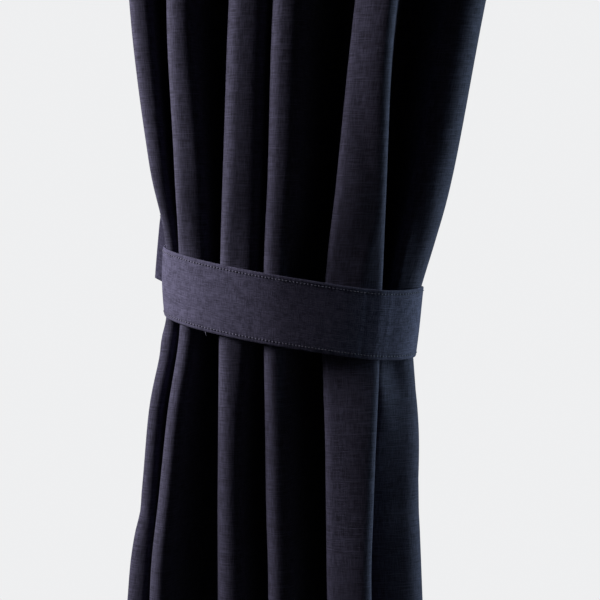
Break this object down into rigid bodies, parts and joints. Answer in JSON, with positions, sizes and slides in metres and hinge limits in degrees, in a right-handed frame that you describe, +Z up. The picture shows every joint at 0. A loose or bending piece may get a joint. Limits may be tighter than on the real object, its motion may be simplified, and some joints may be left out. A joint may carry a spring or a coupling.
{
  "type": "curtain with tieback",
  "caption": "Full-length slub-weave curtain panel hung in deep uneven folds and drawn in at the waist by a flat stitched band tieback with a free end behind.",
  "frame": {"origin": "middle of the curtain's top edge", "axes": "+Z up the hanging cloth, +X along the top edge from the outer side to the leading edge, +Y to the back of the cloth"},
  "size_m": [0.6398, 0.1676, 2.4974],
  "materials": {
    "curtain_cloth": "matte slub plain weave, dark blue-grey with a hint of aubergine",
    "tieback_cloth": "the same slub weave, doubled, with lighter stitching along both long edges"
  },
  "bodies": {
    "root": {"curtain_panel": "curtain_cloth", "tieback_band": "tieback_cloth"}
  },
  "joints": []
}
